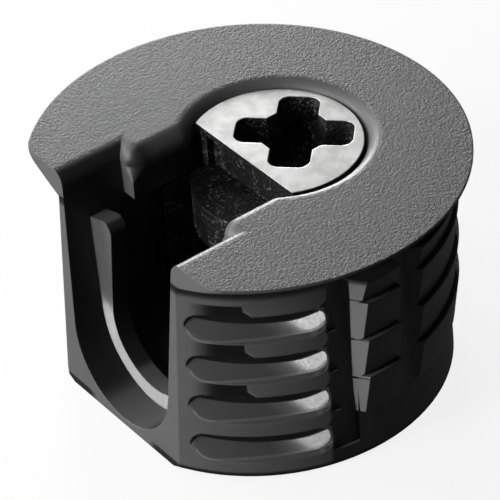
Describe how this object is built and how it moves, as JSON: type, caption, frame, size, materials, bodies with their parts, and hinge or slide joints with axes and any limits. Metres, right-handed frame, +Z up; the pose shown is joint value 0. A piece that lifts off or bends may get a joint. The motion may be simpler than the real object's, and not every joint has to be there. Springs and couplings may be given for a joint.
{
  "type": "cam lock fitting",
  "caption": "Round drop-in cam connector for board furniture: a flanged plastic housing with a bolt slot and a zinc cam turned by a cross recess.",
  "frame": {"origin": "centre of the 20 mm barrel at its foot, which rests on the floor of the drilling", "axes": "+Z up the barrel's axis to the rim, -Y towards the flat front where the bolt enters, +X to the right as seen from the front"},
  "size_m": [0.022, 0.0198, 0.0127],
  "materials": {
    "housing_plastic": "black moulded plastic with a fine spark-eroded grain",
    "cam_zinc": "bare die-cast zinc, slightly mottled"
  },
  "bodies": {
    "housing": {"housing": "housing_plastic"},
    "cam": {"cam": "cam_zinc"}
  },
  "joints": [
    {"name": "cam_turn", "type": "hinge", "parent": "housing", "child": "cam", "pos_m": [0, 0.0017, 0], "axis": [0, 0, -1], "range_deg": [0, 180]}
  ]
}
